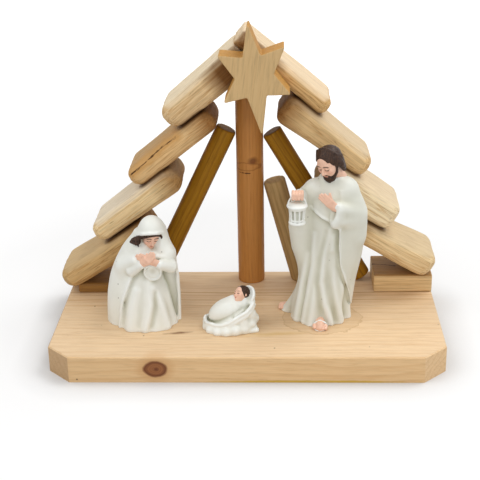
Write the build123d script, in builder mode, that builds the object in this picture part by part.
from build123d import *
from math import atan2, cos, degrees, radians, sin
import os

# Wooden nativity stable. Millimetres, +X to the right, +Y to the back, +Z up.
# The origin is the middle of the base board's underside.

# Base board: a dressed pine board with its two front corners cut off
BASE_WIDTH = 270
BASE_DEPTH = 140
BASE_THICKNESS = 19
BASE_CORNER_CUT = 16
BASE_EDGE_BEVEL = 0.8

# Sill blocks, fixed at both ends of the base with their backs flush with its back edge
SILL_LENGTH = 43
SILL_DEPTH = 38
LEFT_SILL_HEIGHT = 7
RIGHT_SILL_HEIGHT = 13.4
LEFT_SILL_INSET = 7
RIGHT_SILL_INSET = 0
SILL_EDGE_BEVEL = 1

# Roof logs, listed from the eave up to the ridge: slopes are in degrees from the level, and a
# step is how far a log's low end lies up the slope from the low end of the log under it. Lengths
# and steps are shares of the base's width. An eave log swells where no log covers it. The corners
# of a log's ends are rounded on its front and back faces by the rounds given here, and by the edge
# bevel more between them. A round of 0 leaves that end sawn square.
LOG_DEPTH = 44
LOG_EDGE_BEVEL = 4.5
LOG_SEAT = 1.2
LEFT_EAVE_SLOPE = 31.1
LEFT_EAVE_OVERHANG = 6.4
LEFT_EAVE_SWELL = 3.5
LEFT_SEAT_INSET = 0
LEFT_SLOPES = [36.2, 37.4, 38.4, 40.4]
LEFT_THICKNESSES = [17.6, 18.4, 16.4, 20.8]
LEFT_LENGTH_SHARES = [0.289, 0.289, 0.285, 0.315]
LEFT_STEP_SHARES = [0, 0.1533, 0.1793, 0.1793]
LEFT_LOW_ROUNDS = [3.5, 4, 3, 4.5]
LEFT_HIGH_ROUNDS = [2, 4, 3, 0]
RIGHT_EAVE_SLOPE = 29.9
RIGHT_EAVE_OVERHANG = 2.2
RIGHT_EAVE_SWELL = 3.5
RIGHT_SEAT_INSET = 7.3
RIGHT_SLOPES = [31.2, 35.8, 40.5, 39.8]
RIGHT_THICKNESSES = [17.8, 24.4, 19.6, 13.2]
RIGHT_LENGTH_SHARES = [0.27, 0.237, 0.2815, 0.2963]
RIGHT_STEP_SHARES = [0, 0.1626, 0.1426, 0.1837]
RIGHT_LOW_ROUNDS = [3.5, 2.5, 2.5, 1]
RIGHT_HIGH_ROUNDS = [2, 2, 2, 0]

# Centre post and the round sticks that lean on it. The two long ones stand a gap away from the
# sills, and the short one stands a share of the way from the post to the long one on its side.
FRAME_BACK_DISTANCE = 13
POST_DIAMETER = 20
POST_X = 1
LEFT_BRACE_DIAMETER = 15.5
LEFT_BRACE_LEAN = 64.2
LEFT_BRACE_GAP = 11.5
LONG_BRACE_DIAMETER = 15
LONG_BRACE_LEAN = 59.7
LONG_BRACE_GAP = 6.4
SHORT_BRACE_DIAMETER = 16.6
SHORT_BRACE_LEAN = 75
SHORT_BRACE_SHARE = 0.461
BRACE_COPE = 0.5
BRACE_SEAT = 1

# Six-pointed star: angles are from its own axis, and a reach is from its centre
STAR_THICKNESS = 19
STAR_TILT = 6.9
STAR_CENTRE_X = 6.4
STAR_DROP = 2.2
STAR_TOP_REACH = 36.4
STAR_UPPER_REACH = 29
STAR_UPPER_ANGLE = 52.8
STAR_LOWER_REACH = 28
STAR_LOWER_ANGLE = 124.2
STAR_BOTTOM_REACH = 42.7
STAR_TOP_NOTCH_REACH = 15
STAR_TOP_NOTCH_ANGLE = 24
STAR_SIDE_NOTCH_REACH = 13.3
STAR_BOTTOM_NOTCH_REACH = 15.5
STAR_BOTTOM_NOTCH_ANGLE = 154.5
STAR_TIP_ROUND = 0.8

# Fixings driven up from the base's underside
SCREW_DIAMETER = 4
SCREW_HEAD_DIAMETER = 8
SCREW_LENGTH = 45
SCREW_POINT_LENGTH = 6
SCREW_CLEARANCE = 0.1
BRAD_DIAMETER = 1.6
BRAD_IN_SILL = 5
BRAD_CLEARANCE = 0.05
BRAD_END_DISTANCE = 10

# Cast figures, in flat facets. A garment is a list of level sections: height above the base, shift
# to the right, shift to the back, half width, half depth, and how deep its folds are as a share of
# these. Other points are shifts to the right and to the back of the figure's place, and a height.
GARMENT_SIDES = 24
LIMB_SIDES = 10
EGG_ROWS = 5
EGG_POLE_ANGLE = 24

WOMAN_X = -0.274 * BASE_WIDTH
WOMAN_Y = -10
WOMAN_FOLDS = 5
WOMAN_CLOAK = [
    (0, 0, 0, 25.2, 22, 0.02),
    (22, 0.8, 1.5, 25.6, 20, 0.02),
    (35, 1.8, 2.5, 23.9, 17.5, 0.01),
    (48, 2, 3, 19.2, 14.5, 0),
    (58, 3, 3, 12.8, 11, 0),
    (63, 5, 2.5, 8, 8, 0),
]
WOMAN_DRESS = [
    (0, 4, -5, 20, 18, 0.06),
    (14, 4, -4, 18.5, 16.5, 0.05),
    (30, 4.5, -2, 15, 13.5, 0.02),
    (44, 5, 0, 12, 12, 0),
]
WOMAN_CLOAK_OPENING = [(-13, -1), (27, -1), (22, 44), (5, 54)]
WOMAN_OPENING_DEPTH = 14
WOMAN_HEAD = (8.6, 0, 67)
WOMAN_HEAD_LENGTH = 23
WOMAN_HEAD_WIDTH = 19
WOMAN_HANDS = (7, -15, 51)
WOMAN_ELBOWS = [(-13, -5, 35), (22, -5, 36)]
WOMAN_ELBOW_RADIUS = 4
WOMAN_CUFF_RADIUS = 5

CHILD_X = -0.0444 * BASE_WIDTH
CHILD_Y = -24
CHILD_FOLDS = 6
CHILD_BED = [
    (0, 0, 0, 18, 13, 0.03),
    (5, 0, 0, 19.5, 14, 0.05),
    (10, 0, 0.5, 17, 12, 0.03),
    (13, 0, 1, 12, 9, 0),
]
CHILD_BODY_FOOT = (-15, -1, 7.5)
CHILD_BODY_NECK = (7, 2, 18)
CHILD_FOOT_RADIUS = 4.5
CHILD_NECK_RADIUS = 7
CHILD_HEAD = (9, 3, 25)
CHILD_HEAD_SIZE = 13

MAN_X = 0.1926 * BASE_WIDTH
MAN_Y = -5
MAN_FOLDS = 6
MAN_ROBE = [
    (0, -0.5, 0, 21, 18, 0.05),
    (12, 0.4, 0, 21.3, 16.5, 0.05),
    (25, 3, 0.5, 20, 14.5, 0.04),
    (38, 4, 1, 20.7, 14, 0.03),
    (55, 3, 1, 24.5, 14, 0.02),
    (73, 3.2, 1, 26, 13.5, 0.01),
    (88, 5, 1, 21.5, 12.5, 0),
    (98, 7, 0.5, 15, 10, 0),
    (104, 7.5, 0, 7.5, 7, 0),
]
MAN_SHAWL = [
    (76, 7, -2.5, 16, 13.5, 0),
    (88, 6, -1.5, 19, 13.5, 0),
    (99, 7, 0, 15.5, 11, 0),
    (105, 7.5, 0, 7.5, 7, 0),
]
MAN_HEAD = (6, 0, 113.5)
MAN_HEAD_LENGTH = 25
MAN_HEAD_WIDTH = 20
MAN_HANDS = [(-15, -15, 94), (5, -16, 92)]
MAN_ELBOWS = [(-15, -4, 72), (24, -5, 76)]
MAN_ELBOW_RADIUS = 6
MAN_CUFF_RADIUS = 4
MAN_HEELS = [(-1.5, -12, 3.2), (-20, 6, 3)]
MAN_TOES = [(-1.5, -25, 2.8), (-28.5, 11, 2.2)]
MAN_HEEL_RADIUS = 3.2
MAN_TOE_RADIUS = 2.2
LANTERN_HEIGHT = 17
LANTERN_DIAMETER = 11
LANTERN_TOP_DIAMETER = 14
LANTERN_TOP_HEIGHT = 4
LANTERN_DROP = 1

base_top = BASE_THICKNESS
base_back = BASE_DEPTH / 2
sill_y = base_back - SILL_DEPTH / 2
frame_y = base_back - FRAME_BACK_DISTANCE
log_y = base_back - LOG_DEPTH / 2
log_front = base_back - LOG_DEPTH


def save(builder, name):
    """Label a finished piece and write its file."""
    builder.part.label = name
    export_step(builder.part, f"parts/{name}.step")


def along(point, angle, distance):
    """The point a distance away from another, at an angle in the roof's upright plane."""
    return (point[0] + distance * cos(radians(angle)), point[1] + distance * sin(radians(angle)))


def middle(point_a, point_b):
    """The point half way between two points of the upright plane."""
    return ((point_a[0] + point_b[0]) / 2, (point_a[1] + point_b[1]) / 2)


def heading(start, end):
    """The angle of the line from one point of the upright plane to another."""
    return degrees(atan2(end[1] - start[1], end[0] - start[0]))


def crossing(point_a, angle_a, point_b, angle_b):
    """Where two lines of the upright plane cross, each given by a point and an angle."""
    dx = point_b[0] - point_a[0]
    dz = point_b[1] - point_a[1]
    turn = sin(radians(angle_b - angle_a))
    reach = (dx * sin(radians(angle_b)) - dz * cos(radians(angle_b))) / turn
    return along(point_a, angle_a, reach)


def roof_side(seat, uphill, eave_slope, overhang, swell, slopes, thicknesses, length_shares, step_shares):
    """Outlines of one side's logs, each from its low bottom corner round to its low top corner.

    uphill is 1 where the roof rises to the right and -1 where it rises to the left."""
    logs = []
    bottom = 90 - uphill * (90 - eave_slope)
    low = along(seat, bottom, -overhang)
    lengths = [share * BASE_WIDTH for share in length_shares]
    steps = [share * BASE_WIDTH for share in step_shares]
    for slope, thickness, length, step in zip(slopes, thicknesses, lengths, steps):
        top = 90 - uphill * (90 - slope)
        low_bottom = along(low, bottom, step)
        high_bottom = along(low_bottom, bottom, length)
        upper_face = along(middle(low_bottom, high_bottom), bottom + uphill * 90, thickness)
        low_top = along(upper_face, top, -length / 2)
        high_top = along(upper_face, top, length / 2)
        logs.append([low_bottom, high_bottom, high_top, low_top])
        low = low_top
        bottom = top
    eave = logs[0]
    eave_top = heading(eave[3], eave[2])
    covered_from = along(eave[3], eave_top, steps[1])
    eave[3:] = [covered_from, along(eave[3], eave_top + uphill * 90, swell)]
    return logs


def underside(point, angle):
    """Plane of a log's lower face, through a point of it and at its slope."""
    return Plane(origin=(point[0], log_y, point[1]), x_dir=(0, 1, 0),
                 z_dir=(-sin(radians(angle)), 0, cos(radians(angle))))


# Where the roof's seams run
left_sill_end = -BASE_WIDTH / 2 + LEFT_SILL_INSET
right_sill_end = BASE_WIDTH / 2 - RIGHT_SILL_INSET
left_seat = (left_sill_end + LEFT_SEAT_INSET, base_top + LEFT_SILL_HEIGHT - LOG_SEAT)
right_seat = (right_sill_end - RIGHT_SEAT_INSET, base_top + RIGHT_SILL_HEIGHT - LOG_SEAT)
left_logs = roof_side(left_seat, 1, LEFT_EAVE_SLOPE, LEFT_EAVE_OVERHANG, LEFT_EAVE_SWELL,
                      LEFT_SLOPES, LEFT_THICKNESSES, LEFT_LENGTH_SHARES, LEFT_STEP_SHARES)
right_logs = roof_side(right_seat, -1, RIGHT_EAVE_SLOPE, RIGHT_EAVE_OVERHANG, RIGHT_EAVE_SWELL,
                       RIGHT_SLOPES, RIGHT_THICKNESSES, RIGHT_LENGTH_SHARES, RIGHT_STEP_SHARES)

# The left ridge log ends against the underside of the right one, which lies over it
left_ridge = left_logs[3]
right_ridge = right_logs[3]
ridge_angle = heading(right_ridge[1], right_ridge[0])
left_under = heading(left_ridge[0], left_ridge[1])
left_over = heading(left_ridge[3], left_ridge[2])
ridge_low = crossing(left_ridge[0], left_under, right_ridge[0], ridge_angle)
ridge_high = crossing(left_ridge[3], left_over, right_ridge[0], ridge_angle)
left_ridge[1] = ridge_low
left_ridge[2] = ridge_high
star_height = ridge_low[1] - STAR_DROP

left_sill_x = left_sill_end + SILL_LENGTH / 2
right_sill_x = right_sill_end - SILL_LENGTH / 2
brad_offset = SILL_LENGTH / 2 - BRAD_END_DISTANCE
left_brads = [(left_sill_x - brad_offset, sill_y), (left_sill_x + brad_offset, sill_y)]
right_brads = [(right_sill_x - brad_offset, sill_y), (right_sill_x + brad_offset, sill_y)]
screw_hole = SCREW_DIAMETER / 2 + SCREW_CLEARANCE
brad_hole = BRAD_DIAMETER / 2 + BRAD_CLEARANCE

os.makedirs("parts", exist_ok=True)

# Base board, drilled from below for the post's screw and the sills' brads
with BuildPart() as base_board:
    with BuildSketch():
        Rectangle(BASE_WIDTH, BASE_DEPTH)
        chamfer(vertices().group_by(Axis.Y)[0], BASE_CORNER_CUT)
    extrude(amount=BASE_THICKNESS)
    chamfer(faces().sort_by(Axis.Z)[-1].edges(), BASE_EDGE_BEVEL)
    with Locations(Plane(origin=(POST_X, frame_y, 0), z_dir=(0, 0, -1))):
        CounterSinkHole(screw_hole, SCREW_HEAD_DIAMETER / 2 + SCREW_CLEARANCE)
    with Locations([(x, y, 0) for x, y in left_brads + right_brads]):
        Hole(brad_hole)
save(base_board, "base_board")


def sill_block(x, height, brads):
    """Offcut of squared wood that carries the lowest log of one side."""
    with BuildPart() as block:
        with BuildSketch(Plane.XY.offset(base_top)):
            with Locations((x, sill_y)):
                Rectangle(SILL_LENGTH, SILL_DEPTH)
        extrude(amount=height)
        chamfer(edges().filter_by(Axis.X).group_by(Axis.Z)[-1], SILL_EDGE_BEVEL)
        with Locations([(px, py, base_top) for px, py in brads]):
            Cylinder(brad_hole, 2 * BRAD_IN_SILL, mode=Mode.SUBTRACT)
    return block


left_sill_block = sill_block(left_sill_x, LEFT_SILL_HEIGHT, left_brads)
right_sill_block = sill_block(right_sill_x, RIGHT_SILL_HEIGHT, right_brads)
save(left_sill_block, "left_sill_block")
save(right_sill_block, "right_sill_block")


def roof_log(outline, low_round, high_round, rests_on=None):
    """Whittled log, flat where it meets its neighbours, with rounded ends and bevelled edges."""
    low_end = middle(outline[0], outline[-1])
    high_end = middle(outline[1], outline[2])
    with BuildPart() as log:
        with BuildSketch(Plane.XZ.offset(-base_back)):
            Polygon(*outline, align=None)
            fillet(vertices().sort_by_distance((*low_end, 0))[:2], low_round + LOG_EDGE_BEVEL)
            if high_round > 0:
                fillet(vertices().sort_by_distance((*high_end, 0))[:2], high_round + LOG_EDGE_BEVEL)
        extrude(amount=LOG_DEPTH)
        chamfer(faces().filter_by(Axis.Y).edges(), LOG_EDGE_BEVEL)
        if rests_on:
            add(rests_on.part, mode=Mode.SUBTRACT)
    return log


left_roof = [roof_log(left_logs[0], LEFT_LOW_ROUNDS[0], LEFT_HIGH_ROUNDS[0], left_sill_block)]
right_roof = [roof_log(right_logs[0], RIGHT_LOW_ROUNDS[0], RIGHT_HIGH_ROUNDS[0], right_sill_block)]
for row in range(1, len(left_logs)):
    left_roof.append(roof_log(left_logs[row], LEFT_LOW_ROUNDS[row], LEFT_HIGH_ROUNDS[row]))
    right_roof.append(roof_log(right_logs[row], RIGHT_LOW_ROUNDS[row], RIGHT_HIGH_ROUNDS[row]))
for row in range(len(left_logs)):
    number = len(left_logs) - row
    save(left_roof[row], f"left_roof_log_{number}")
    save(right_roof[row], f"right_roof_log_{number}")

# Centre post: its top is cut to the undersides of the two ridge logs
with BuildPart() as centre_post:
    with BuildSketch(Plane.XY.offset(base_top)):
        with Locations((POST_X, frame_y)):
            Circle(POST_DIAMETER / 2)
    extrude(amount=ridge_high[1] - base_top)
    split(bisect_by=underside(left_ridge[0], left_under), keep=Keep.BOTTOM)
    split(bisect_by=underside(right_ridge[0], ridge_angle + 180), keep=Keep.TOP)
    with Locations((POST_X, frame_y, base_top)):
        Cylinder(screw_hole, 2 * (SCREW_LENGTH - BASE_THICKNESS), mode=Mode.SUBTRACT)
save(centre_post, "centre_post")


def brace(side, diameter, lean, foot_x, neighbours):
    """Round stick with square ends, standing on its lower edge with its top against the post.

    side is -1 where it stands to the left of the post and 1 where it stands to the right."""
    radius = diameter / 2
    top_x = POST_X + side * (POST_DIAMETER / 2 - BRACE_COPE + radius * sin(radians(lean)))
    foot = (radius * cos(radians(lean)) - BRACE_SEAT) / sin(radians(lean))
    top = abs(foot_x - top_x) / cos(radians(lean))
    axis = Vector(-side * cos(radians(lean)), 0, sin(radians(lean)))
    with BuildPart() as stick:
        with BuildSketch(Plane(origin=Vector(foot_x, frame_y, base_top) + axis * foot, z_dir=axis)):
            Circle(radius)
        extrude(amount=top - foot)
        split(bisect_by=Plane.XY.offset(base_top), keep=Keep.TOP)
        for neighbour in neighbours:
            add(neighbour.part, mode=Mode.SUBTRACT)
    return stick


left_brace_foot = left_sill_end + SILL_LENGTH + LEFT_BRACE_GAP
long_brace_foot = right_sill_end - SILL_LENGTH - LONG_BRACE_GAP
short_brace_foot = POST_X + SHORT_BRACE_SHARE * (long_brace_foot - POST_X)
left_brace = brace(-1, LEFT_BRACE_DIAMETER, LEFT_BRACE_LEAN, left_brace_foot,
                   [centre_post, *left_roof[1:]])
right_long_brace = brace(1, LONG_BRACE_DIAMETER, LONG_BRACE_LEAN, long_brace_foot,
                         [centre_post, *right_roof[1:]])
right_short_brace = brace(1, SHORT_BRACE_DIAMETER, SHORT_BRACE_LEAN, short_brace_foot,
                          [centre_post, right_long_brace])
save(left_brace, "left_brace")
save(right_long_brace, "right_long_brace")
save(right_short_brace, "right_short_brace")

# Star, sawn from a board and glued to the fronts of the two ridge logs
star_half = [
    (0, STAR_TOP_REACH),
    (STAR_TOP_NOTCH_ANGLE, STAR_TOP_NOTCH_REACH),
    (STAR_UPPER_ANGLE, STAR_UPPER_REACH),
    (90, STAR_SIDE_NOTCH_REACH),
    (STAR_LOWER_ANGLE, STAR_LOWER_REACH),
    (STAR_BOTTOM_NOTCH_ANGLE, STAR_BOTTOM_NOTCH_REACH),
    (180, STAR_BOTTOM_REACH),
]
star_corners = [(reach * sin(radians(angle)), reach * cos(radians(angle))) for angle, reach in star_half]
star_plane = Plane(origin=(STAR_CENTRE_X, log_front, star_height),
                   x_dir=(cos(radians(STAR_TILT)), 0, sin(radians(STAR_TILT))), z_dir=(0, -1, 0))
with BuildPart() as star:
    with BuildSketch(star_plane):
        with BuildLine():
            Polyline(star_corners)
            mirror(about=Plane.YZ)
        make_face()
        tips = vertices().sort_by_distance((0, 0, 0))[-6:]
        fillet(tips, STAR_TIP_ROUND)
    extrude(amount=STAR_THICKNESS)
save(star, "star")

# Countersunk screw, up through the base into the post
head_height = (SCREW_HEAD_DIAMETER - SCREW_DIAMETER) / 2
with BuildPart() as post_screw:
    with BuildSketch(Plane.XZ.offset(-frame_y)):
        with BuildLine():
            Polyline((POST_X, 0), (POST_X + SCREW_HEAD_DIAMETER / 2, 0),
                     (POST_X + SCREW_DIAMETER / 2, head_height),
                     (POST_X + SCREW_DIAMETER / 2, SCREW_LENGTH - SCREW_POINT_LENGTH),
                     (POST_X, SCREW_LENGTH), close=True)
        make_face()
    revolve(axis=Axis((POST_X, frame_y, 0), (0, 0, 1)))
save(post_screw, "post_screw")

# Headless brads, up through the base into the sill blocks
with BuildPart() as sill_brads:
    with BuildSketch():
        with Locations(left_brads + right_brads):
            Circle(BRAD_DIAMETER / 2)
    extrude(amount=BASE_THICKNESS + BRAD_IN_SILL)
save(sill_brads, "sill_brads")


def skin(rings):
    """Closed form in flat facets through rings of points, with as many points in each ring."""
    faces = [Face(Wire.make_polygon(rings[0])), Face(Wire.make_polygon(rings[-1]))]
    for lower, upper in zip(rings, rings[1:]):
        for side in range(len(lower)):
            after = (side + 1) % len(lower)
            faces.append(Face(Wire.make_polygon([lower[side], lower[after], upper[side]])))
            faces.append(Face(Wire.make_polygon([lower[after], upper[after], upper[side]])))
    with BuildPart() as form:
        add(Solid(Shell(faces)))
    return form


def turns(sides):
    """Angles of a ring's points."""
    return [radians(360 * side / sides) for side in range(sides)]


def garment(x, y, sections, folds):
    """Hanging cloth whose level outlines swell and draw in with its folds."""
    rings = []
    for height, dx, dy, half_width, half_depth, fold_depth in sections:
        ring = []
        for turn in turns(GARMENT_SIDES):
            swell = 1 + fold_depth * cos(folds * turn)
            ring.append((x + dx + half_width * swell * cos(turn),
                         y + dy + half_depth * swell * sin(turn), base_top + height))
        rings.append(ring)
    return skin(rings)


def egg(x, y, centre, width, length):
    """Head and its hair or hood as one upright egg."""
    rings = []
    for row in range(EGG_ROWS + 1):
        rise = radians(EGG_POLE_ANGLE + row * (180 - 2 * EGG_POLE_ANGLE) / EGG_ROWS)
        radius = width / 2 * sin(rise)
        height = base_top + centre[2] - length / 2 * cos(rise)
        rings.append([(x + centre[0] + radius * cos(turn), y + centre[1] + radius * sin(turn), height)
                      for turn in turns(LIMB_SIDES)])
    return skin(rings)


def limb(x, y, start, end, start_radius, end_radius):
    """Tapered sleeve, foot or wrapped body between two points."""
    line = Vector(*end) - Vector(*start)
    tail = Vector(x + start[0], y + start[1], base_top + start[2])
    rings = []
    for origin, radius in [(tail, start_radius), (tail + line, end_radius)]:
        plane = Plane(origin=origin, z_dir=line)
        rings.append([plane.from_local_coords((radius * cos(turn), radius * sin(turn), 0))
                      for turn in turns(LIMB_SIDES)])
    return skin(rings)


# Kneeling woman: a cloak open in front over a dress, a hooded head and arms crossed on the breast
with BuildPart() as open_cloak:
    add(garment(WOMAN_X, WOMAN_Y, WOMAN_CLOAK, WOMAN_FOLDS).part)
    with BuildSketch(Plane.XZ.offset(WOMAN_OPENING_DEPTH / 2 - WOMAN_Y)):
        Polygon(*[(WOMAN_X + dx, base_top + height) for dx, height in WOMAN_CLOAK_OPENING], align=None)
    extrude(amount=2 * WOMAN_OPENING_DEPTH, mode=Mode.SUBTRACT)
woman_forms = [
    open_cloak,
    garment(WOMAN_X, WOMAN_Y, WOMAN_DRESS, WOMAN_FOLDS),
    egg(WOMAN_X, WOMAN_Y, WOMAN_HEAD, WOMAN_HEAD_WIDTH, WOMAN_HEAD_LENGTH),
]
for elbow in WOMAN_ELBOWS:
    woman_forms.append(limb(WOMAN_X, WOMAN_Y, elbow, WOMAN_HANDS, WOMAN_ELBOW_RADIUS, WOMAN_CUFF_RADIUS))
with BuildPart() as kneeling_woman:
    for form in woman_forms:
        add(form.part)
save(kneeling_woman, "kneeling_woman")

# Swaddled child on a heaped bed
child_forms = [
    garment(CHILD_X, CHILD_Y, CHILD_BED, CHILD_FOLDS),
    limb(CHILD_X, CHILD_Y, CHILD_BODY_FOOT, CHILD_BODY_NECK, CHILD_FOOT_RADIUS, CHILD_NECK_RADIUS),
    egg(CHILD_X, CHILD_Y, CHILD_HEAD, CHILD_HEAD_SIZE, CHILD_HEAD_SIZE),
]
with BuildPart() as swaddled_child:
    for form in child_forms:
        add(form.part)
save(swaddled_child, "swaddled_child")

# Standing man in a long robe and a shawl, holding up a lantern
lantern_x = MAN_X + MAN_HANDS[0][0]
lantern_y = MAN_Y + MAN_HANDS[0][1]
lantern_top = base_top + MAN_HANDS[0][2] - LANTERN_DROP
with BuildPart() as lantern:
    for diameter, height in [(LANTERN_DIAMETER, LANTERN_HEIGHT), (LANTERN_TOP_DIAMETER, LANTERN_TOP_HEIGHT)]:
        with BuildSketch(Plane.XY.offset(lantern_top - height)):
            with Locations((lantern_x, lantern_y)):
                RegularPolygon(diameter / 2, LIMB_SIDES)
        extrude(amount=height)
man_forms = [
    garment(MAN_X, MAN_Y, MAN_ROBE, MAN_FOLDS),
    garment(MAN_X, MAN_Y, MAN_SHAWL, MAN_FOLDS),
    egg(MAN_X, MAN_Y, MAN_HEAD, MAN_HEAD_WIDTH, MAN_HEAD_LENGTH),
    lantern,
]
for elbow, hand in zip(MAN_ELBOWS, MAN_HANDS):
    man_forms.append(limb(MAN_X, MAN_Y, elbow, hand, MAN_ELBOW_RADIUS, MAN_CUFF_RADIUS))
for heel, toe in zip(MAN_HEELS, MAN_TOES):
    man_forms.append(limb(MAN_X, MAN_Y, heel, toe, MAN_HEEL_RADIUS, MAN_TOE_RADIUS))
with BuildPart() as standing_man:
    for form in man_forms:
        add(form.part)
    split(bisect_by=Plane.XY.offset(base_top), keep=Keep.TOP)
save(standing_man, "standing_man")
